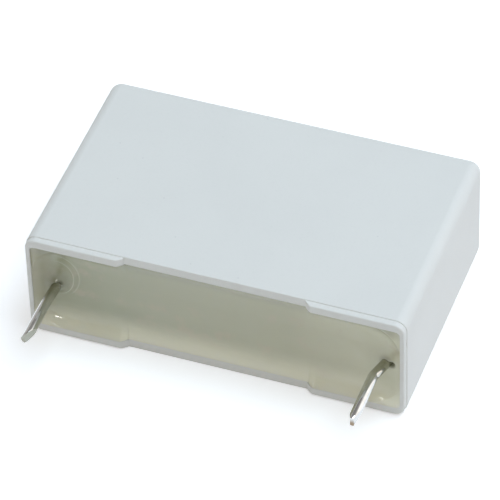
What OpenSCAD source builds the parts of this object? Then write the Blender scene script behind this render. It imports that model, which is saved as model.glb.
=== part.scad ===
// Box film capacitor: a flattened film roll potted in a moulded plastic case.
// It is drawn standing on its feet, board side down, and then laid on a broad side.
// Origin: midway between the leads, in the plane that the feet stand on.
// +X runs along the lead pitch, +Y from the board to the closed end, +Z is up.

/* [Case] */
// Length of the case, along the lead pitch
case_l = 32; // [30:0.5:40]
// Thickness of the case, between its two broad faces
case_w = 10.1; // [8:0.1:16]
// Height of the case, from the feet to the closed end
case_h = 20.3; // [16:0.1:30]
// Thickness of the two long walls at the open end
side_wall = 0.8; // [0.6:0.05:1.2]
// Thickness of the two end walls at the open end
end_wall = 0.45; // [0.4:0.05:1.2]
// Thickness of the closed end
roof = 1.1; // [0.8:0.1:2]
// Radius of the outside corners and edges
corner_r = 1.0; // [0.7:0.05:1.4]
// Radius of the corners inside the case
cavity_r = 0.55; // [0.3:0.05:0.7]
// Draft of the cavity walls, in degrees
cavity_draft = 0.4; // [0:0.1:0.8]

/* [Rim] */
// Height of the four feet, which is the depth of the gap between them
foot_h = 0.53; // [0.3:0.01:0.9]
// Length of each foot along a long wall, with its sloped end
foot_l = 8.4; // [5:0.1:12]
// Length of the sloped end of a foot
foot_slope = 0.65; // [0.3:0.05:1.2]
// Step by which the rim stands in from the outside of the case
rim_step = 0.08; // [0.02:0.01:0.2]
// Rounding of the outer edge of the rim
rim_round = 0.12; // [0.05:0.01:0.3]
// Bevel of the cavity's mouth
mouth_bevel = 0.1; // [0.05:0.01:0.2]

/* [Potting] */
// Depth of the resin's flat surface behind the feet
fill_depth = 1.0; // [0.7:0.05:1.6]
// Depth at which the resin's edge ends on the walls
creep_depth = 0.2; // [0.15:0.05:0.5]
// Depth of the resin's edge behind the rim in the gaps between the feet
gap_creep = 0.05; // [0.02:0.01:0.2]
// Width over which the surface rises to the walls
meniscus_w = 3.0; // [1.5:0.1:3.5]
// Distance in which most of that rise is lost; smaller is steeper at the walls
meniscus_fall = 1.0; // [0.4:0.1:2]
// Radius of the resin collar round a lead
collar_r = 1.2; // [0.9:0.1:1.8]
// Height of the collar on the left lead
collar_left_h = 0.5; // [0.2:0.05:0.6]
// Height of the collar on the right lead
collar_right_h = 0.25; // [0.2:0.05:0.6]

/* [Leads] */
// Distance between the two leads outside the case
lead_pitch = 27.4; // [27:0.1:28.4]
// Diameter of the lead wire
wire_d = 0.85; // [0.6:0.05:1]
// Length of the left lead beyond the feet
lead_left_l = 5.9; // [4:0.1:25]
// Length of the right lead beyond the feet
lead_right_l = 6.3; // [4:0.1:25]
// Depth behind the feet at which the cranks begin
crank_depth = 0.85; // [0.7:0.05:1.5]
// Length of the cranks that bring the leads to the pitch
crank_l = 1.95; // [1.8:0.05:3]
// How far the two bends of a crank swell the wire, on its radius
bend_swell = 0.01; // [0.005:0.005:0.03]
// Thickness that the cutter leaves at the very end of a lead
tip_t = 0.3; // [0.1:0.05:0.4]
// Length of the sloping cut on the inner side of the left lead's end
cut_left_l = 1.3; // [0.3:0.1:2]
// Length of the sloping cut on the inner side of the right lead's end
cut_right_l = 0.7; // [0.3:0.1:2]
// Length of the sloping cut on the outer side of the right lead's end
cut_outer_l = 1.5; // [0.3:0.1:2]

/* [Film roll] */
// Resin between the roll and the long walls
side_gap = 0.45; // [0.3:0.05:1]
// Resin between the roll and the closed end
roof_gap = 0.7; // [0.3:0.1:1.5]
// Resin between the roll and the open surface
cover_gap = 1.2; // [0.8:0.1:3]
// Resin between a lead wire and the end wall, if the roll sat in the middle of the case
end_gap = 1.05; // [0.6:0.05:1.5]
// How far the roll sits off the middle, towards the right lead
roll_shift = 0.35; // [0:0.05:0.45]
// Thickness of the plain film wrapped round the roll
wrap_t = 0.15; // [0.1:0.05:0.4]
// Thickness of the sprayed metal on each end of the roll
spray_t = 0.55; // [0.3:0.05:1]
// Depth to which a wire is welded into the sprayed metal
weld_sink = 0.1; // [0.05:0.01:0.2]
// Share of the roll's height that a wire runs up along it
wire_reach = 0.75; // [0.5:0.05:0.95]
// Width of the closed-up slit that the winding mandrel left
slit_w = 5; // [2:0.5:8]
// Thickness of that slit
slit_t = 0.2; // [0.1:0.05:0.4]

/* [Hidden] */

// How finely hulls are drawn, and the steps in a drawn quarter round
hull_fn = 32;
arc_steps = 8;
// The steps in which the resin's surface rises to a wall
rise_steps = 9;
// How far a cutting shape runs past what it cuts
past = 1;

left = -1;
right = 1;

cavity_l = case_l - 2 * end_wall;
cavity_w = case_w - 2 * side_wall;
cavity_top = case_h - roof;
cavity_lean = cavity_top * tan(cavity_draft);

// The roll with its wrap, sized to leave the named gaps at the closed end, where the cavity is narrowest
roll_low = fill_depth + cover_gap;
roll_high = cavity_top - roof_gap;
wrap_w = cavity_w - 2 * (cavity_lean + side_gap);
wrap_h = roll_high - roll_low;
roll_mid = (roll_low + roll_high) / 2;
wire_r = wire_d / 2;
wire_x = cavity_l / 2 - cavity_lean - end_gap - wire_r;
spray_x = wire_x - wire_r + weld_sink;
roll_l = 2 * (spray_x - spray_t);
wire_top = roll_low + wire_reach * wrap_h;

// Side, length beyond the feet, collar, and the cuts on the inner and outer side of the end
lead_ends = [
    [left, lead_left_l, collar_left_h, [cut_left_l, 0]],
    [right, lead_right_l, collar_right_h, [cut_right_l, cut_outer_l]]
];

// Turns a shape drawn on its feet on to its broad side, closed end towards +Y
module laid_down() rotate([-90, 0, 0]) children();

// Repeats a shape at the four corners of a rectangle, turned alike
module at_corners(l, w) {
    for (x = [-l / 2, l / 2], y = [-w / 2, w / 2]) translate([x, y, 0]) children();
}

// A quarter round from [r, 0] to [0, h], as steps of a polygon
function quarter(r, h) = [for (i = [0:arc_steps]) let (a = 90 * i / arc_steps) [r * cos(a), h * sin(a)]];

// An upright post with a domed top and a small rounding at its foot
module domed_post(r, low, high, foot_round) {
    rotate_extrude($fn = hull_fn) polygon(concat(
        [[0, low]],
        [for (p = quarter(foot_round, foot_round)) [r - foot_round + p[1], low + foot_round - p[0]]],
        [for (p = quarter(r, r)) [p[0], high - r + p[1]]]
    ));
}

// The outside of the case above the feet
module case_block() {
    hull() at_corners(case_l - 2 * corner_r, case_w - 2 * corner_r)
        domed_post(corner_r, foot_h, case_h, rim_step);
}

// The rim, which stands in a little from the outside and carries the feet
module rim_band() {
    r = corner_r - rim_step;
    hull() at_corners(case_l - 2 * corner_r, case_w - 2 * corner_r)
        domed_post(r, 0, foot_h + 2 * r, rim_round);
}

// The space inside the case
module cavity() {
    hull() {
        at_corners(cavity_l - 2 * cavity_r, cavity_w - 2 * cavity_r)
            translate([0, 0, -past]) cylinder(h = past, r = cavity_r, $fn = hull_fn);
        at_corners(cavity_l - 2 * (cavity_r + cavity_lean), cavity_w - 2 * (cavity_r + cavity_lean))
            domed_post(cavity_r, cavity_top - 2 * cavity_r, cavity_top, cavity_r / 4);
    }
}

// The bevel round the cavity's mouth
module mouth() {
    hull() at_corners(cavity_l - 2 * cavity_r, cavity_w - 2 * cavity_r)
        translate([0, 0, -mouth_bevel])
            cylinder(h = 2 * mouth_bevel, r1 = cavity_r + 2 * mouth_bevel, r2 = cavity_r, $fn = hull_fn);
}

// The gap between the feet of both long walls, of that depth, with softly sloped ends
module foot_gap(depth) {
    half = case_l / 2 - foot_l;
    slope = [for (i = [0:arc_steps]) let (t = i / arc_steps)
        [half + foot_slope * (1 - t), depth * (1 - cos(180 * t)) / 2]];
    edge = concat([[half + foot_slope, -past]], slope);
    mirrored = [for (i = [len(edge) - 1:-1:0]) [-edge[i][0], edge[i][1]]];
    rotate([90, 0, 0]) linear_extrude(height = case_w + 2 * past, center = true)
        polygon(concat(edge, mirrored));
}

// The air in the mouth of the case: it is deepest in the middle, and the resin rises to the walls
module open_mouth() {
    rise = fill_depth - creep_depth;
    full = 1 - exp(-meniscus_w / meniscus_fall);
    edge = [for (i = [0:rise_steps]) let (off = meniscus_w * pow(i / rise_steps, 1.5))
        [meniscus_w - off, creep_depth + rise * (1 - exp(-off / meniscus_fall)) / full]];
    translate([-case_l / 2, -case_w / 2, -2 * past])
        cube([case_l, case_w, 2 * past + creep_depth]);
    hull() at_corners(cavity_l - 2 * meniscus_w, cavity_w - 2 * meniscus_w)
        rotate_extrude($fn = hull_fn) polygon(concat([[0, -past], [meniscus_w, -past]], edge));
}

// The resin that climbs a lead: widest in the flat surface, hollow, and thin where it ends on the wire
module collar(height) {
    edge = [for (i = [0:arc_steps]) let (a = 90 * i / arc_steps)
        [collar_r - (collar_r - wire_r) * sin(a), fill_depth - height * (1 - cos(a))]];
    rotate_extrude($fn = 48) polygon(concat([[0, fill_depth + wire_r], [collar_r, fill_depth + wire_r]],
        edge, [[0, fill_depth - height]]));
}

// The outline of the flattened roll, with half-round ends
module roll_outline(w, h) {
    square([w, h - w], center = true);
    for (y = [-1, 1]) translate([0, y * (h - w) / 2]) circle(d = w, $fn = 96);
}

// A slice of the roll's outline, from one place along the pitch to another
module roll_slice(w, h, from, to) {
    translate([from, 0, roll_mid]) rotate([0, 90, 0]) rotate([0, 0, 90])
        linear_extrude(height = to - from) roll_outline(w, h);
}

// Moves a shape drawn about the roll's middle to where the roll sits
module in_roll() translate([roll_shift, 0, 0]) children();

// Mirrors a shape across X when the side is the left one
module on_side(side) {
    if (side < 0) mirror([1, 0, 0]) children(); else children();
}

// A straight stretch of wire from the origin down
module stretch(length) {
    translate([0, 0, -length]) cylinder(h = length, r = wire_r, $fn = 48);
}

// What a cutter takes off the inner and outer side of a wire's end; the land lies where a slope is none
module cut_end(slopes) {
    land_x = slopes[1] > 0 ? 0 : wire_r - tip_t / 2;
    for (i = [0, 1]) if (slopes[i] > 0) {
        side = i == 0 ? left : right;
        edge = side * land_x + tip_t / 2;
        on_side(side) rotate([90, 0, 0]) linear_extrude(height = 2 * wire_d, center = true)
            polygon([[edge, -past], [edge, 0], [edge + wire_d, wire_d * slopes[i] / (wire_r - edge)],
                [edge + wire_d, -past]]);
    }
}

// The last stretch of a lead, with its cut end
module tail(length, slopes) {
    difference() {
        stretch(length);
        translate([0, 0, -length]) cut_end(slopes);
    }
}

// A sharp bend of the wire at the origin, a little swollen
module knee() sphere(r = wire_r + bend_swell, $fn = 48);

// The wire on the right-hand side: down along the sprayed end, cranked in by that shift and cut off
module wire(length, shift, slopes) {
    translate([wire_x, 0, crank_depth]) {
        cylinder(h = wire_top - crank_depth, r = wire_r, $fn = 48);
        knee();
        rotate([0, atan(shift / crank_l), 0]) stretch(norm([shift, crank_l]));
        translate([-shift, 0, -crank_l]) {
            knee();
            tail(length + crank_depth - crank_l, slopes);
        }
    }
}

// One lead, from its place at the roll to its place on the pitch
module lead_wire(end) {
    in_roll() on_side(end[0])
        wire(end[1], wire_x + end[0] * roll_shift - lead_pitch / 2, end[3]);
}

module lead(end) {
    color("silver") laid_down() lead_wire(end);
}

module end_spray(side) {
    color("darkgray") laid_down() in_roll() on_side(side) difference() {
        roll_slice(wrap_w, wrap_h, roll_l / 2, spray_x);
        translate([wire_x, 0, roll_low - past]) cylinder(h = wire_top - roll_low + past, r = wire_r, $fn = 48);
    }
}

module case() {
    color("whitesmoke") laid_down() difference() {
        union() {
            case_block();
            rim_band();
        }
        cavity();
        mouth();
        foot_gap(foot_h);
    }
}

module film_roll() {
    w = wrap_w - 2 * wrap_t;
    color("lightgray") laid_down() in_roll() difference() {
        roll_slice(w, wrap_h - 2 * wrap_t, -roll_l / 2, roll_l / 2);
        translate([0, 0, roll_mid]) cube([roll_l + past, slit_t, slit_w], center = true);
    }
}

module cover_wrap() {
    w = wrap_w - 2 * wrap_t;
    color("lightyellow") laid_down() in_roll() difference() {
        roll_slice(wrap_w, wrap_h, -roll_l / 2, roll_l / 2);
        roll_slice(w, wrap_h - 2 * wrap_t, -roll_l / 2 - past, roll_l / 2 + past);
    }
}

module potting_resin() {
    color([0.6, 0.61, 0.52]) laid_down() difference() {
        union() {
            difference() {
                cavity();
                open_mouth();
            }
            for (end = lead_ends) in_roll() translate([end[0] * wire_x, 0, 0]) collar(end[2]);
        }
        foot_gap(foot_h + gap_creep);
        in_roll() roll_slice(wrap_w, wrap_h, -spray_x, spray_x);
        for (end = lead_ends) lead_wire(end);
    }
}

case();
potting_resin();
film_roll();
cover_wrap();
end_spray(left);  // end_spray_left
end_spray(right);  // end_spray_right
lead(lead_ends[0]);  // lead_left
lead(lead_ends[1]);  // lead_right
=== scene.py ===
# Box film capacitor: a white moulded case lying on its side, its potted open face and two tinned leads.
import math
import bpy
import bmesh
from mathutils import Matrix, Vector, noise


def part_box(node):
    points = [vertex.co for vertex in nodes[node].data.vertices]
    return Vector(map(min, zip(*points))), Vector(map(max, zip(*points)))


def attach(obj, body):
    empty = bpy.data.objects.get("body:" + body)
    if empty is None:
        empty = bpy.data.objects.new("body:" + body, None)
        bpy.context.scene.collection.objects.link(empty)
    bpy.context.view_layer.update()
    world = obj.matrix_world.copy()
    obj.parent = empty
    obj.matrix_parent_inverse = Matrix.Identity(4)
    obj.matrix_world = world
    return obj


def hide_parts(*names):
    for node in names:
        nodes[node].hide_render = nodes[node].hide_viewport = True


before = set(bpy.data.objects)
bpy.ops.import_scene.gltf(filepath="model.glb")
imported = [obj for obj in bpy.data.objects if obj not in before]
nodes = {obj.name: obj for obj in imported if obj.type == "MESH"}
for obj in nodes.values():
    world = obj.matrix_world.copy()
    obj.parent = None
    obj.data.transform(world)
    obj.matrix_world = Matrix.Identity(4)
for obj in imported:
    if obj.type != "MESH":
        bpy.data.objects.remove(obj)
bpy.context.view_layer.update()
toMetres = 0.001  # shapes are drawn in millimetres and brought to metres at the end
print("frame loaded:", ", ".join(sorted(nodes)))


def setStops(elements, stops):
    while len(elements) < len(stops):
        elements.new(1)
    for element, (place, colour) in zip(elements, stops):
        element.position, element.color = place, (*colour, 1)


# ---- shader maths: an expression on values adds its nodes ----
class Value:
    def __init__(self, finish, socket):
        self.finish, self.socket = finish, socket

    def maths(self, operation, *values):
        return self.finish.node("Math", {"operation": operation}, dict(enumerate(values)))

    def __add__(self, other): return self.maths("ADD", self, other)
    def __radd__(self, other): return self.maths("ADD", other, self)
    def __sub__(self, other): return self.maths("SUBTRACT", self, other)
    def __rsub__(self, other): return self.maths("SUBTRACT", other, self)
    def __mul__(self, other): return self.maths("MULTIPLY", self, other)
    def __rmul__(self, other): return self.maths("MULTIPLY", other, self)
    def __truediv__(self, other): return self.maths("DIVIDE", self, other)
    def __pow__(self, other): return self.maths("POWER", self, other)
    def smallest(self, other): return self.maths("MINIMUM", self, other)
    def size(self): return self.maths("ABSOLUTE", self)
    def root(self): return self.maths("SQRT", self)

    def between(self, low, high):  # 0 below low, 1 above high, smooth between them
        return self.finish.node("MapRange", {"interpolation_type": "SMOOTHSTEP"},
                                {"Value": self, "From Min": low, "From Max": high})


class Finish:
    def __init__(self, name):
        self.material = bpy.data.materials.new(name)
        self.material.use_nodes = True
        self.tree = self.material.node_tree
        self.tree.nodes.clear()
        self.output = self.tree.nodes.new("ShaderNodeOutputMaterial")

    def node(self, kind, settings=None, inputs=None, output=0):
        made = self.tree.nodes.new("ShaderNode" + kind)
        for key, value in (settings or {}).items():
            if key == "stops":
                setStops(made.color_ramp.elements, value)
            else:
                setattr(made, key, value)
        for key, value in (inputs or {}).items():
            self.feed(made.inputs[key], value)
        return Value(self, made.outputs[output])

    def feed(self, socket, value):
        if isinstance(value, Value):
            self.tree.links.new(value.socket, socket)
        elif socket.type == "RGBA" and len(value) == 3:
            socket.default_value = (*value, 1)
        else:
            socket.default_value = value

    def place(self):  # where a point lies on the part, in millimetres
        here = self.node("TexCoord", output="Object")
        return self.node("VectorMath", {"operation": "SCALE"}, {0: here, "Scale": 1000})

    def stretched(self, place, scale):
        return self.node("VectorMath", {"operation": "MULTIPLY"}, {0: place, 1: scale})

    def axes(self, place):
        return [self.node("SeparateXYZ", inputs={0: place}, output=axis) for axis in "XYZ"]

    def grain(self, place, scale, detail=3, roughness=0.5):
        return self.node("TexNoise", inputs={"Vector": place, "Scale": scale, "Detail": detail,
                                             "Roughness": roughness})

    def cells(self, place, scale, feature="F1"):
        return self.node("TexVoronoi", {"feature": feature}, {"Vector": place, "Scale": scale})

    def blend(self, factor, first, second):
        return self.node("Mix", {"data_type": "RGBA"}, {0: factor, 6: first, 7: second}, output=2)

    def relief(self, height, depth, strength=1.0):  # depth in millimetres
        return self.node("Bump", inputs={"Height": height, "Distance": depth * toMetres,
                                         "Strength": strength})

    def surface(self, values):
        shader = self.node("BsdfPrincipled", inputs=values)
        self.tree.links.new(shader.socket, self.output.inputs["Surface"])
        return self.material


# ---- the case's plastic: cold white, fine moulded grain, a few specks ----
plasticLook = {
    "white": (0.75, 0.745, 0.70), "shade": (0.71, 0.705, 0.665), "speck": (0.42, 0.42, 0.40),
    "roughness": 0.5, "grainSize": 9.0, "grainDepth": 0.006,
}


def casePlastic():
    look = plasticLook
    finish = Finish("casePlastic")
    place = finish.place()
    cloud = finish.grain(place, 0.16, 4, 0.55)
    grain = finish.grain(place, look["grainSize"], 3, 0.6)
    speck = 1 - finish.cells(place, 0.55).between(0.028, 0.05)
    faint = 1 - finish.cells(place, 2.1).between(0.05, 0.12)
    fleck = finish.grain(place, 4.5, 2, 0.7).between(0.5, 0.75)
    uneven = cloud.between(0.35, 0.72) * 0.3 + faint * 0.12 + fleck * 0.3
    colour = finish.blend(uneven, look["white"], look["shade"])
    colour = finish.blend(speck * 0.22, colour, look["speck"])
    height = grain + cloud * 2.0
    return finish.surface({
        "Base Color": colour, "Roughness": look["roughness"] + (grain - 0.5) * 0.16,
        "Specular IOR Level": 0.42, "Subsurface Weight": 0.08, "Subsurface Radius": (0.4, 0.4, 0.4),
        "Subsurface Scale": 0.0006, "Normal": finish.relief(height, look["grainDepth"], 0.5),
    })


# ---- the potting resin: greenish beige, glossy, paler where it is thin over the white walls; its colour also carries painted light and painted shade ----
resinLook = {
    # the resin's tone from the left end to the right; its paling towards the right end is painted light
    "along": ((0.0, (0.36, 0.34, 0.22)), (0.06, (0.37, 0.375, 0.26)), (0.2, (0.435, 0.445, 0.32)),
              (0.33, (0.47, 0.47, 0.345)), (0.7, (0.495, 0.485, 0.35)), (0.88, (0.585, 0.57, 0.42)),
              (1.0, (0.60, 0.595, 0.44))),
    "warm": (0.54, 0.48, 0.36), "pale": (0.90, 0.87, 0.68), "shade": (0.38, 0.37, 0.30),
    "paintedShade": (0.15, 0.155, 0.10), "ringHighlight": (0.62, 0.63, 0.49), "roughness": 0.07,
}


def pottingResin(cavity, spots, rings):
    look = resinLook
    finish = Finish("pottingResin")
    place = finish.place()
    x, y, z = finish.axes(place)
    cloud = finish.grain(place, 0.22, 3, 0.5)
    patch = finish.grain(place, 0.75, 3, 0.55)
    wispy = finish.grain(finish.stretched(place, (0.3, 1, 1)), 1.6, 4, 0.6)
    # painted light: the resin is drawn paler towards the right end, where light falls from the right
    along = x / (2 * cavity["x"]) + 0.5 + (cloud - 0.5) * 0.12
    colour = finish.node("ValToRGB", {"stops": look["along"]}, {"Fac": along})
    colour = finish.blend(patch.between(0.5, 0.72) * cloud.between(0.4, 0.6) * 0.5, colour, look["warm"])
    # painted shade: darker along the upper wall, where the fillet faces down away from the light
    colour = finish.blend((z - cavity["z"]).between(-1.3, -0.3) * 0.45, colour, look["shade"])
    # paler near the lower wall and the ends: thin resin over the white walls, and along the lower wall also
    # painted light where the fillet faces up into the light
    low = 1 - (z + cavity["z"] + (wispy - 0.5) * 0.5).between(-0.1, 2.6)
    end = 1 - (x.size() * -1 + cavity["x"]).between(0.0, 0.9)
    colour = finish.blend(1 - (1 - low * 0.8) * (1 - end * 0.25), colour, look["pale"])
    # painted shade round the wire bases, darkest in the clefts beside them
    for spot in spots:
        off = (x - spot["x"]) * (x - spot["x"]) + (z - spot["z"]) * (z - spot["z"])
        dark = (1 - off.root().between(spot["core"], spot["reach"])) * spot["depth"]
        colour = finish.blend(dark, colour, look["paintedShade"])
    # painted highlight: a pale line drawn along each ring ridge
    for ring in rings:
        offX, offZ = x - ring["x"], z - ring["z"]
        away = ((offX / ring["wide"]) ** 2 + (offZ / ring["high"]) ** 2).root() - 1
        ringHighlight = (1 - away.size().between(0.0, 0.045)) * offX.between(-0.4, 1.0) * offZ.between(-2.3, -0.9)
        colour = finish.blend(ringHighlight * ring["strength"], colour, look["ringHighlight"])
    height = wispy * 0.6 + finish.grain(place, 3.2, 2, 0.5) * 0.25
    return finish.surface({
        "Base Color": colour, "Roughness": look["roughness"] + patch * 0.04,
        "Subsurface Weight": 0.3, "Subsurface Radius": (1.0, 0.95, 0.6), "Subsurface Scale": 0.0009,
        "IOR": 1.52, "Normal": finish.relief(height, 0.02, 0.15),
    })


# ---- the wires' tin plating, with bare copper where the cutter went through ----
tinLook = {
    "bright": (0.70, 0.70, 0.685), "dull": (0.56, 0.56, 0.53), "poolSideTone": (0.34, 0.34, 0.25),
    "copper": (0.26, 0.18, 0.10), "roughness": 0.05,
    "cut": {"lead_left": ((0.40, 0.405, 0.35), 0.38), "lead_right": ((0.66, 0.66, 0.65), 0.12)},
}


def tinPlate(name):  # darker and more olive towards where the wire leaves the pool
    look = tinLook
    finish = Finish(name)
    place = finish.place()
    x, y, z = finish.axes(place)
    drawn = finish.grain(finish.stretched(place, (1, 0.05, 1)), 22, 3, 0.6)
    blotch = finish.grain(finish.stretched(place, (1, 0.5, 1)), 2.4, 4, 0.6)
    colour = finish.blend(blotch.between(0.42, 0.72) * 0.6, look["bright"], look["dull"])
    nearPool = (y + (blotch - 0.5) * 0.8).between(-1.9, -0.2)
    colour = finish.blend(nearPool * 0.75, colour, look["poolSideTone"])
    return finish.surface({
        "Base Color": colour, "Metallic": 1.0,
        "Roughness": look["roughness"] + blotch.between(0.45, 0.75) * 0.08 + drawn * 0.03 + nearPool * 0.06,
        "Normal": finish.relief(drawn * 0.6 + blotch * 1.2, 0.005, 0.5),
    })


def cutMetal(name, node, tipY, bareShare):  # what the cutter smeared, with the wire's copper at the very end
    look = tinLook
    finish = Finish(name)
    place = finish.place()
    x, y, z = finish.axes(place)
    colour, roughness = look["cut"][node]
    streaks = finish.grain(finish.stretched(place, (1, 0.2, 1)), 14, 3, 0.6)
    bare = (1 - (y + z * 0.3).between(tipY - 0.06, tipY + 0.1)) * bareShare
    return finish.surface({
        "Base Color": finish.blend(bare, colour, look["copper"]), "Metallic": 1.0,
        "Roughness": streaks * 0.15 + bare * 0.2 + roughness,
        "Normal": finish.relief(streaks, 0.012, 0.6),
    })


# ---- what is sealed inside: metallised film, its plain outer wrap, and the sprayed ends ----
def metallisedFilm(low, high):
    finish = Finish("metallisedFilm")
    place = finish.place()
    x, y, z = finish.axes(place)
    layers = finish.node("TexWave", {"bands_direction": "Z"},
                         {"Vector": place, "Scale": 1.4, "Distortion": 0.5, "Detail": 2.0})
    wrinkle = finish.grain(finish.stretched(place, (0.15, 1, 1)), 1.2, 4, 0.6)
    middle, half = (high.x + low.x) / 2, (high.x - low.x) / 2
    edge = ((x - middle).size() - half).between(-0.5, 0.0)  # the film's margins are denser metal
    colour = finish.blend(layers * 0.3 + wrinkle * 0.3, (0.62, 0.63, 0.65), (0.42, 0.44, 0.48))
    colour = finish.blend(edge * 0.5, colour, (0.52, 0.53, 0.56))
    return finish.surface({
        "Base Color": colour, "Metallic": 0.75, "Roughness": 0.24 + wrinkle * 0.15,
        "Normal": finish.relief(wrinkle + layers * 0.3, 0.03, 0.5),
    })


def plainFilm():
    finish = Finish("plainFilm")
    place = finish.place()
    wrinkle = finish.grain(finish.stretched(place, (0.2, 1, 1)), 1.1, 4, 0.6)
    haze = finish.grain(place, 0.6, 3, 0.5)
    colour = finish.blend(haze.between(0.35, 0.7) * 0.5, (0.80, 0.79, 0.70), (0.70, 0.68, 0.57))
    return finish.surface({
        "Base Color": colour, "Roughness": 0.22 + haze * 0.12, "Coat Weight": 0.3,
        "Normal": finish.relief(wrinkle, 0.04, 0.6),
    })


def sprayedZinc():
    finish = Finish("sprayedZinc")
    place = finish.place()
    lumps = finish.cells(place, 7, "SMOOTH_F1")
    dust = finish.grain(place, 16, 4, 0.7)
    uneven = lumps.between(0.2, 0.7) * 0.6 + dust * 0.3
    colour = finish.blend(uneven, (0.50, 0.51, 0.52), (0.30, 0.31, 0.32))
    return finish.surface({
        "Base Color": colour, "Metallic": 0.7, "Roughness": 0.55 + dust * 0.2,
        "Normal": finish.relief(1 - lumps + dust * 0.5, 0.06, 0.8),
    })


# ---- shared mesh steps ----
def inMillimetres(node):
    low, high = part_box(node)
    return low / toMetres, high / toMetres


def finished(mesh, name, materials, sharpAngle=40):
    bmesh.ops.remove_doubles(mesh, verts=mesh.verts, dist=0.0004)
    bmesh.ops.recalc_face_normals(mesh, faces=mesh.faces)
    for edge in mesh.edges:
        edge.smooth = not (edge.is_manifold and edge.calc_face_angle(0) > math.radians(sharpAngle))
    for face in mesh.faces:
        face.smooth = True
    bmesh.ops.scale(mesh, vec=(toMetres,) * 3, verts=mesh.verts)
    data = bpy.data.meshes.new(name)
    mesh.to_mesh(data)
    mesh.free()
    for material in materials:
        data.materials.append(material)
    piece = bpy.data.objects.new(name, data)
    bpy.context.collection.objects.link(piece)
    evener = piece.modifiers.new("evenNormals", "WEIGHTED_NORMAL")
    evener.keep_sharp, evener.weight = True, 60
    return piece


def pushed(mesh, faces, step):
    grown = bmesh.ops.extrude_face_region(mesh, geom=faces)["geom"]
    bmesh.ops.delete(mesh, geom=faces, context="FACES_KEEP_BOUNDARY")
    bmesh.ops.translate(mesh, vec=step, verts=[part for part in grown if isinstance(part, bmesh.types.BMVert)])
    return [part for part in grown if isinstance(part, bmesh.types.BMFace)]


def smoothStep(t):
    t = min(max(t, 0.0), 1.0)
    return (1 - math.cos(math.pi * t)) / 2


# ---- the case ----
caseShape = {
    "wallSide": 0.8, "wallEnd": 0.45, "roof": 1.1, "cornerR": 1.0, "innerR": 0.55, "draftDegrees": 0.4,
    "footHeight": 0.53, "footLength": 8.4, "slopeLength": 0.65, "slopeCuts": 9,
    "rimStep": 0.08, "rimRound": 0.12, "mouthRound": 0.1, "stepRound": 0.06,
    "cornerSteps": 10,
}


def gapShare(x):  # 1 in the gap between two feet of a long wall, 0 on a foot
    half = caseHigh.x - caseShape["footLength"]
    t = min(max((half + caseShape["slopeLength"] - abs(x)) / caseShape["slopeLength"], 0.0), 1.0)
    return 0.45 * smoothStep(t) + 0.55 * (1 - math.sqrt(1 - t * t))


def openFaces(mesh, y):
    return [f for f in mesh.faces if all(abs(v.co.y - y) < 1e-4 for v in f.verts)]


def loopAt(mesh, y, test):
    return [e for e in mesh.edges if all(abs(v.co.y - y) < 1e-4 and test(v.co) for v in e.verts)]


def inset(mesh, faces, width):
    bmesh.ops.inset_region(mesh, faces=faces, thickness=width, use_even_offset=True, use_boundary=True)
    return faces


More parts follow.
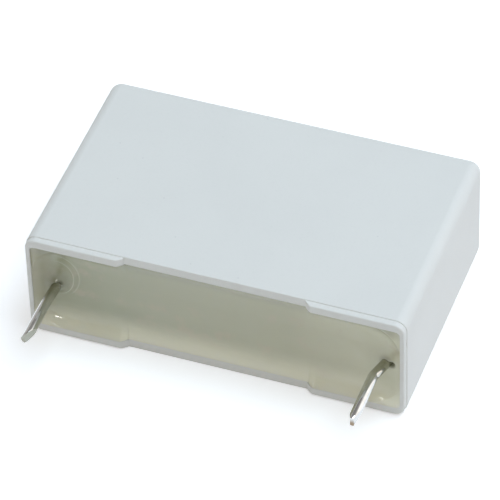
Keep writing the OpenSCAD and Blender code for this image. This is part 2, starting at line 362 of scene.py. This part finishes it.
def buildCase(material):
    s = caseShape
    lowY, highY = s["footHeight"], caseHigh.y
    halfX, halfZ = caseHigh.x, (caseHigh.z - caseLow.z) / 2
    mesh = bmesh.new()
    bmesh.ops.create_cube(mesh, size=1)
    bmesh.ops.scale(mesh, vec=(2 * halfX, highY - lowY, 2 * halfZ), verts=mesh.verts)
    bmesh.ops.translate(mesh, vec=(0, (highY + lowY) / 2, 0), verts=mesh.verts)
    rounded = [e for e in mesh.edges if not all(abs(v.co.y - lowY) < 1e-4 for v in e.verts)]
    bmesh.ops.bevel(mesh, geom=rounded, offset=s["cornerR"], segments=s["cornerSteps"], profile=0.5,
                    affect="EDGES", material=-1, clamp_overlap=True)
    # lines across the open face, where the feet slope up to the gap
    half = halfX - s["footLength"]
    for step in range(s["slopeCuts"] + 1):
        for side in (-1, 1):
            x = side * (half + s["slopeLength"] * step / s["slopeCuts"])
            faces = openFaces(mesh, lowY)
            edges = {e for f in faces for e in f.edges}
            verts = {v for f in faces for v in f.verts}
            bmesh.ops.bisect_plane(mesh, geom=[*faces, *edges, *verts], plane_co=(x, 0, 0),
                                   plane_no=(1, 0, 0))
    # the rim stands in from the outside by a small step
    faces = inset(mesh, openFaces(mesh, lowY), s["rimStep"])
    faces = pushed(mesh, faces, (0, -lowY, 0))
    faces = inset(mesh, openFaces(mesh, 0), s["wallEnd"] - s["rimStep"])
    inner = {v for f in faces for v in f.verts}
    squeeze = (halfZ - s["wallSide"]) / (halfZ - s["wallEnd"])
    bmesh.ops.scale(mesh, vec=(1, 1, squeeze), verts=list(inner))
    depth = highY - s["roof"]
    lean = depth * math.tan(math.radians(s["draftDegrees"]))
    faces = pushed(mesh, faces, (0, depth, 0))
    floorVerts = list({v for f in faces for v in f.verts})
    bmesh.ops.scale(mesh, vec=(1 - lean / (halfX - s["wallEnd"]), 1, 1 - lean / (halfZ - s["wallSide"])),
                    verts=floorVerts)
    # roundings: cavity floor, mouth, outer edge of the rim, and the case's edge above the step
    isInner = lambda c: abs(c.z) < halfZ - s["wallSide"] + 1e-3 and abs(c.x) < halfX - s["wallEnd"] + 1e-3
    isOuter = lambda c: not isInner(c)
    onSkin = lambda c: abs(c.z) > halfZ - 1e-4 or abs(c.x) > halfX - 1e-4 or (
        math.hypot(max(abs(c.x) - halfX + s["cornerR"], 0), max(abs(c.z) - halfZ + s["cornerR"], 0))
        > s["cornerR"] - 0.004)
    def soften(edges, radius, segments):
        bmesh.ops.bevel(mesh, geom=edges, offset=radius, segments=segments, profile=0.5,
                        affect="EDGES", material=-1, clamp_overlap=False)
    boundary = lambda y, test: [e for e in loopAt(mesh, y, test)
                                if len({tuple(round(n, 3) for n in f.normal) for f in e.link_faces}) > 1]
    mesh.normal_update()
    soften(boundary(depth, isInner), s["innerR"] * 0.8, 4)
    mesh.normal_update()
    soften(boundary(0, isInner), s["mouthRound"], 3)
    mesh.normal_update()
    soften(boundary(0, isOuter), s["rimRound"], 5)
    mesh.normal_update()
    soften(boundary(lowY, onSkin), s["stepRound"], 3)
    # the gaps between the feet
    for v in mesh.verts:
        share = gapShare(v.co.x)
        if share > 0 and v.co.y < lowY - 1e-4:
            if abs(v.co.z) < halfZ - s["wallSide"] + s["mouthRound"] + 0.02:
                v.co.y += share * lowY
            else:
                v.co.y += share * (lowY - 0.004 - v.co.y)
    return finished(mesh, "caseShell", [material])


# ---- the resin: a dished pool that climbs the walls and the wires ----
resinShape = {
    "cells": (400, 112), "depth": 1.0, "reach": 3.0, "fall": 1.0,
    "edgeFoot": 0.2, "edgeLow": 0.03, "edgeGap": 0.56,  # depth of its edge: upper wall, lower wall, foot gaps
    "mounds": {"lead_left": (0.55, 0.5), "lead_right": (0.28, 0.3)},
    # beside each wire the resin leaves a small cleft: its place from the wire, radius and depth
    "clefts": {"lead_left": (0.2, 0.28, 0.24, 0.3), "lead_right": (0.36, -0.03, 0.25, 0.5)},
    # where the resin set in two waves beside the left wire: centre from the wire, half sizes, height
    "rings": ((-0.16, 0.72, 1.5, 1.8, 0.05), (-0.16, 0.95, 1.98, 2.35, 0.04)), "ringWidth": 0.08, "bedding": 0.16,
    "grip": 0.006,  # how far the resin reaches into a wire, so that no gap shows round it
}


def resinDepth(x, z):
    s = resinShape
    ripple = (noise.noise(Vector((x * 0.35, z * 0.35, 3.1))) * 0.03
              + noise.noise(Vector((x * 1.1, z * 1.1, 7.7))) * 0.008)
    edge = s["edgeFoot"] + (s["edgeLow"] - s["edgeFoot"]) * smoothStep((-1.5 - z) / 2)
    edge += (s["edgeGap"] - edge) * gapShare(x * 0.985) * smoothStep((abs(z) - 1.5) / 2)
    fromWall = s["reach"] - math.hypot(max(abs(x) - cavityHalf[0] + s["reach"], 0),
                                       max(abs(z) - cavityHalf[1] + s["reach"], 0))
    share = (1 - math.exp(-max(fromWall, 0) / s["fall"])) / (1 - math.exp(-s["reach"] / s["fall"]))
    depth = edge + (s["depth"] - edge) * share + ripple * smoothStep(share)
    for wire, (height, spread) in s["mounds"].items():
        r = math.hypot(x - wires[wire]["sealed"], z)
        depth -= height * math.exp(-max(r - leadShape["radius"], 0) / spread)
        besideX, besideZ, size, deep = s["clefts"][wire]
        depth += deep * math.exp(-(math.hypot(x - wires[wire]["sealed"] - besideX, z - besideZ) / size) ** 2)
    for shiftX, shiftZ, wide, high, height in s["rings"]:
        offX, offZ = x - wires["lead_left"]["sealed"] - shiftX, z - shiftZ
        fade = smoothStep((offX + 0.4) / 1.4) * smoothStep((offZ + 2.3) / 1.4)
        away = (math.hypot(offX / wide, offZ / high) - 1) * wide
        depth -= height * fade * math.exp(-(away / s["ringWidth"]) ** 2)
    return depth


def paintedShadeSpots():  # painted shade: the resin is drawn darker round the wires, darkest in the clefts beside them
    spots = []
    for name, (besideX, besideZ, size, deep) in resinShape["clefts"].items():
        x = wires[name]["sealed"]
        spots.append({"x": x, "z": 0, "core": 0.3, "reach": 1.7 if x < 0 else 0.9, "depth": 0.3})
        spots.append({"x": x + besideX, "z": besideZ, "core": size * 0.5, "reach": size * 1.9, "depth": 0.75})
    return spots


# painted highlights along the two ring ridges beside the left wire
def paintedRingHighlights():
    x = wires["lead_left"]["sealed"]
    return [{"x": x + shiftX, "z": shiftZ, "wide": wide, "high": high, "strength": height * 12}
            for shiftX, shiftZ, wide, high, height in resinShape["rings"]]


def solidBlock(name, mesh):
    bmesh.ops.recalc_face_normals(mesh, faces=mesh.faces)
    data = bpy.data.meshes.new(name)
    mesh.to_mesh(data)
    mesh.free()
    block = bpy.data.objects.new(name, data)
    bpy.context.collection.objects.link(block)
    return block


def cutWith(block, tool, operation):
    step = block.modifiers.new(operation, "BOOLEAN")
    step.object, step.operation, step.solver = tool, operation, "EXACT"
    result = bpy.data.meshes.new_from_object(block.evaluated_get(bpy.context.evaluated_depsgraph_get()))
    block.modifiers.clear()
    block.data = result
    bpy.data.objects.remove(tool)


def rollSlab():  # the space that the roll, its wrap and the sprayed ends take
    low, high = inMillimetres("end_spray_left")[0], inMillimetres("end_spray_right")[1]
    size = high - low
    mesh = bmesh.new()
    bmesh.ops.create_cube(mesh, size=1)
    bmesh.ops.scale(mesh, vec=size, verts=mesh.verts)
    bmesh.ops.translate(mesh, vec=(low + high) / 2, verts=mesh.verts)
    lengthwise = [e for e in mesh.edges if abs(e.verts[0].co.x - e.verts[1].co.x) > 1]
    bmesh.ops.bevel(mesh, geom=lengthwise, offset=size.z / 2 - 0.001, segments=12, profile=0.5,
                    affect="EDGES", material=-1, clamp_overlap=True)
    return solidBlock("rollSlab", mesh)


def buildResin(material):
    s = resinShape
    low, high = inMillimetres("potting_resin")
    mesh = bmesh.new()
    across, deep = s["cells"]
    bmesh.ops.create_grid(mesh, x_segments=across, y_segments=deep, size=0.5)
    bmesh.ops.scale(mesh, vec=(2 * cavityHalf[0] + 0.3, 2 * cavityHalf[1] + 0.3, 1), verts=mesh.verts)
    bmesh.ops.rotate(mesh, cent=(0, 0, 0), matrix=Matrix.Rotation(math.radians(90), 3, "X"), verts=mesh.verts)
    for v in mesh.verts:
        v.co.y = resinDepth(v.co.x, v.co.z)
    back = bmesh.ops.extrude_face_region(mesh, geom=list(mesh.faces))
    for part in back["geom"]:
        if isinstance(part, bmesh.types.BMVert):
            part.co.y = high.y + 0.5
    bmesh.ops.dissolve_limit(mesh, angle_limit=0.001, edges=[e for e in mesh.edges
                             if all(v.co.y > high.y + 0.4 for v in e.verts)],
                             verts=[v for v in mesh.verts if v.co.y > high.y + 0.4])
    block = solidBlock("resinBlock", mesh)
    mould = bmesh.new()
    bmesh.ops.create_cube(mould, size=1)
    bmesh.ops.scale(mould, vec=(2 * cavityHalf[0] + s["bedding"], high.y + 2, 2 * cavityHalf[1] + s["bedding"]),
                    verts=mould.verts)
    bmesh.ops.translate(mould, vec=(0, (high.y - 2) / 2, 0), verts=mould.verts)
    rounded = [e for e in mould.edges if max(v.co.y for v in e.verts) > 0]
    bmesh.ops.bevel(mould, geom=rounded, offset=caseShape["innerR"] * 0.8, segments=6, profile=0.5,
                    affect="EDGES", material=-1, clamp_overlap=True)
    lean = math.tan(math.radians(caseShape["draftDegrees"]))
    for v in mould.verts:
        v.co.x *= 1 - lean * v.co.y / cavityHalf[0]
        v.co.z *= 1 - lean * v.co.y / cavityHalf[1]
    cutWith(block, solidBlock("mould", mould), "INTERSECT")
    cutWith(block, rollSlab(), "DIFFERENCE")
    for node in wires:
        core = wireShape(node, leadShape["radius"] - s["grip"])
        cutWith(block, solidBlock("core", core), "DIFFERENCE")
    mesh = bmesh.new()
    mesh.from_mesh(block.data)
    bpy.data.objects.remove(block)
    return finished(mesh, "resinPool", [material], 35)


# ---- the leads: round wire, bent sharply on to the pitch, the ends nipped off at a slant ----
leadShape = {
    "radius": 0.425, "swell": 0.01, "sides": 48, "crankDepth": 0.85, "crankLength": 1.95, "bendRadius": 1.3,
    "bendSteps": 8, "straightSteps": 10,
    "cutReach": 1.52, "cutEdge": 0.012,  # how far up from the tip the cuts go, and the softening of their edges
    # which side of the wire, where on its width the slope starts, and how long it is
    "cuts": {"lead_left": ((-1, -0.125, 1.3),), "lead_right": ((-1, 0.15, 0.7), (1, 0.15, 1.5))},
}


def wireShape(node, radius):
    s = leadShape
    low, high = inMillimetres(node)
    side, sealed, tail = wires[node]["side"], abs(wires[node]["sealed"]), abs(wires[node]["tail"])
    lean = math.atan((sealed - tail) / s["crankLength"])
    bend = math.copysign(s["bendRadius"], lean)
    reach = bend * math.tan(lean / 2)
    mesh = bmesh.new()
    ring = bmesh.ops.create_circle(mesh, cap_ends=False, segments=s["sides"], radius=radius)["verts"]
    bmesh.ops.rotate(mesh, cent=(0, 0, 0), matrix=Matrix.Rotation(math.radians(90), 3, "X"), verts=ring)
    bmesh.ops.translate(mesh, vec=(sealed, high.y, 0), verts=ring)
    edges = list(mesh.edges)
    bmesh.ops.contextual_create(mesh, geom=edges)

    def run(edges, step, count=1):
        for part in range(count):
            grown = bmesh.ops.extrude_edge_only(mesh, edges=edges)["geom"]
            bmesh.ops.translate(mesh, vec=Vector(step) / count,
                                verts=[g for g in grown if isinstance(g, bmesh.types.BMVert)])
            edges = [g for g in grown if isinstance(g, bmesh.types.BMEdge)]
            edges = [e for e in edges if e.is_boundary]
        return edges

    def turn(edges, centre, angle):
        verts = list({v for e in edges for v in e.verts})
        grown = bmesh.ops.spin(mesh, geom=[*verts, *edges], cent=centre, axis=(0, 0, 1), angle=angle,
                               steps=s["bendSteps"], use_merge=False, use_duplicate=False)["geom_last"]
        return [g for g in grown if isinstance(g, bmesh.types.BMEdge)]

    down = Vector((-math.sin(lean), -math.cos(lean), 0))
    knee, elbow = Vector((sealed, s["crankDepth"], 0)), Vector((tail, s["crankDepth"] - s["crankLength"], 0))
    edges = run(edges, (0, knee.y + reach - high.y, 0))
    edges = turn(edges, knee + Vector((-bend, reach, 0)), -lean)
    edges = run(edges, down * ((knee - elbow).length - 2 * reach), 2)
    edges = turn(edges, elbow + Vector((bend, -reach, 0)), lean)
    edges = run(edges, (0, low.y - (elbow.y - reach), 0), s["straightSteps"])
    bmesh.ops.contextual_create(mesh, geom=edges)
    bmesh.ops.recalc_face_normals(mesh, faces=mesh.faces)
    for way, foot, length in s["cuts"][node]:
        outward = Vector((way * length, foot - s["radius"], 0)).normalized()
        cut = bmesh.ops.bisect_plane(mesh, geom=[*mesh.verts, *mesh.edges, *mesh.faces],
                                     plane_co=(tail + way * foot, low.y, 0), plane_no=outward,
                                     clear_outer=True)["geom_cut"]
        bmesh.ops.contextual_create(mesh, geom=[g for g in cut if isinstance(g, bmesh.types.BMEdge)])
    bmesh.ops.scale(mesh, vec=(side, 1, 1), verts=mesh.verts)
    bmesh.ops.recalc_face_normals(mesh, faces=mesh.faces)
    return mesh


def buildLead(name, node, metal, cut):
    mesh = wireShape(node, leadShape["radius"])
    endY = inMillimetres(node)[0].y + leadShape["cutReach"]
    sharp = [e for e in mesh.edges if e.is_manifold and e.calc_face_angle(0) > math.radians(14)
             and max(v.co.y for v in e.verts) < endY]
    bmesh.ops.bevel(mesh, geom=sharp, offset=leadShape["cutEdge"], segments=2, profile=0.5,
                    affect="EDGES", material=-1, clamp_overlap=True)
    mesh.normal_update()
    for face in mesh.faces:
        face.material_index = int(face.normal.y < -0.12 and face.calc_center_median().y < endY)
    return finished(mesh, name, [metal, cut], 50)


# ---- build the pieces ----
caseLow, caseHigh = inMillimetres("case")
cavityHalf = (caseHigh.x - caseShape["wallEnd"], caseHigh.z - caseShape["wallSide"])
leftLow, leftHigh = inMillimetres("lead_left")
rightLow, rightHigh = inMillimetres("lead_right")
kneeR = leadShape["radius"] + leadShape["swell"]
wires = {  # where the wires run: sealed in the resin, and outside on the pitch
    "lead_left": {"side": -1, "sealed": leftHigh.x - kneeR, "tail": leftLow.x + kneeR},
    "lead_right": {"side": 1, "sealed": rightHigh.x - kneeR, "tail": rightLow.x + kneeR},
}
for name, wire in wires.items():
    print(name, "sealed at", round(wire["sealed"], 3), "mm, outside at", round(wire["tail"], 3), "mm")

shell = buildCase(casePlastic())
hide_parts("case")
print("case shell:", len(shell.data.polygons), "faces")

resin = buildResin(pottingResin({"x": cavityHalf[0], "z": cavityHalf[1]},
                                paintedShadeSpots(), paintedRingHighlights()))
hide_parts("potting_resin")
print("resin:", len(resin.data.polygons), "faces")

tin = tinPlate("tinPlate")
leadLeft = buildLead("leadWireLeft", "lead_left", tin, cutMetal("cutLeft", "lead_left", leftLow.y, 0.2))
leadRight = buildLead("leadWireRight", "lead_right", tin, cutMetal("cutRight", "lead_right", rightLow.y, 0.9))
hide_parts("lead_left")
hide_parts("lead_right")
print("leads:", len(leadLeft.data.polygons) + len(leadRight.data.polygons), "faces")

for piece in (shell, resin, leadLeft, leadRight):
    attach(piece, "root")
innerFinish = {"film_roll": metallisedFilm(*inMillimetres("film_roll")), "cover_wrap": plainFilm()}
innerFinish["end_spray_left"] = innerFinish["end_spray_right"] = sprayedZinc()
for name, material in innerFinish.items():
    nodes[name].data.materials.clear()
    nodes[name].data.materials.append(material)
print("inner pieces finished")


# ---- floor, light and camera ----
stageLook = {
    "floorSize": 1.2, "floorColour": (0.86, 0.86, 0.86), "floorGlow": 0.40, "worldFill": 0.335,
    "worldColour": (1.0, 0.97, 0.95),
    # what the metal mirrors, by how far to the right it looks (-1 to 1)
    "room": ((0.0, 0.45), (0.2, 0.62), (0.28, 0.30), (0.55, 0.32), (0.64, 0.62), (0.73, 1.5)),
}


def pale(name):
    finish = Finish(name)
    seen = finish.node("LightPath", output="Is Camera Ray")
    mirrored = (finish.node("LightPath", output="Is Glossy Ray")
                + finish.node("LightPath", output="Is Transmission Ray"))
    lit = finish.node("BsdfDiffuse", inputs={"Color": stageLook["floorColour"]})
    strength = (seen + mirrored).smallest(1) * stageLook["floorGlow"]
    glow = finish.node("Emission", inputs={"Color": (1, 1, 1), "Strength": strength})
    both = finish.node("AddShader", inputs={0: lit, 1: glow})
    finish.tree.links.new(both.socket, finish.output.inputs["Surface"])
    return finish.material


floorMesh = bmesh.new()
bmesh.ops.create_grid(floorMesh, x_segments=1, y_segments=1, size=stageLook["floorSize"])
bmesh.ops.translate(floorMesh, vec=(0, 0, caseLow.z * toMetres), verts=floorMesh.verts)
floorData = bpy.data.meshes.new("paleFloor")
floorMesh.to_mesh(floorData)
floorMesh.free()
floorData.materials.append(pale("floorPaper"))
floor = bpy.data.objects.new("paleFloor", floorData)
bpy.context.collection.objects.link(floor)

world = bpy.data.worlds.new("studio")
bpy.context.scene.world = world
world.use_nodes = True
tree = world.node_tree
tree.nodes.clear()


def worldNode(kind, inputs, output=0):
    made = tree.nodes.new("ShaderNode" + kind)
    for key, value in inputs.items():
        if isinstance(value, bpy.types.NodeSocket):
            tree.links.new(value, made.inputs[key])
        else:
            made.inputs[key].default_value = value
    return made.outputs[output] if made.outputs else made


# the room is brighter towards the right; a plain white is seen behind the part
brightest = 2.0  # the ramp holds shares of this
across = worldNode("SeparateXYZ", {0: worldNode("TexCoord", {})})
room = worldNode("ValToRGB", {"Fac": worldNode("MapRange", {"Value": across, "From Min": -1.0})})
stops = [(place, (bright / brightest,) * 3) for place, bright in stageLook["room"]]
setStops(room.node.color_ramp.elements, stops)
mirrored = worldNode("MapRange", {"Value": room, "To Max": brightest})
glossy = worldNode("LightPath", {}, "Is Glossy Ray")
strength = worldNode("MapRange", {"Value": glossy, "To Min": stageLook["worldFill"], "To Max": mirrored})
seen = worldNode("LightPath", {}, "Is Camera Ray")
strength = worldNode("MapRange", {"Value": seen, "To Min": strength, "To Max": 1.0})
background = worldNode("Background", {"Color": (*stageLook["worldColour"], 1), "Strength": strength})
worldNode("OutputWorld", {"Surface": background})

lamps = {  # place in metres, size in metres, power in watts, colour
    "overhead": ((0.16, 0.10, 0.50), (0.42, 0.42), 2.42, (0.70, 0.85, 1.0)),
    "rightWindow": ((0.55, 0.05, 0.20), (0.30, 0.30), 0.23, (1.0, 0.66, 0.60)),
    "frontStrip": ((0.05, -0.61, 0.09), (0.14, 0.03), 0.24, (1.0, 0.98, 0.93)),
    "frontLeft": ((-0.45, -0.36, 0.12), (0.16, 0.05), 0.20, (1.0, 0.98, 0.93)),
}
for name, (place, size, power, colour) in lamps.items():
    data = bpy.data.lights.new(name, "AREA")
    data.shape = "ELLIPSE" if size[0] == size[1] else "RECTANGLE"
    data.size, data.size_y = size
    data.energy, data.color = power, colour
    lamp = bpy.data.objects.new(name, data)
    lamp.location = place
    lamp.rotation_mode = "QUATERNION"
    lamp.rotation_quaternion = (-Vector(place)).to_track_quat("-Z", "Y")
    bpy.context.collection.objects.link(lamp)

cameraPose = {
    "place": (0.08840, -0.22112, 0.23894), "lens": 305.94, "sensor": 36.0,
    "right": (0.94137212, 0.33644098, -0.02485439), "up": (-0.21738737, 0.6611514, 0.71813178),
    "back": (0.25800593, -0.67061984, 0.69546815),
}
cameraData = bpy.data.cameras.new("camera")
cameraData.lens, cameraData.sensor_width = cameraPose["lens"], cameraPose["sensor"]
cameraData.clip_start, cameraData.clip_end = 0.01, 5
camera = bpy.data.objects.new("camera", cameraData)
turned = Matrix((cameraPose["right"], cameraPose["up"], cameraPose["back"])).transposed()
camera.matrix_world = Matrix.Translation(cameraPose["place"]) @ turned.to_4x4()
bpy.context.collection.objects.link(camera)
bpy.context.scene.camera = camera
bpy.context.scene.view_settings.view_transform = "Standard"

print("scene ready")
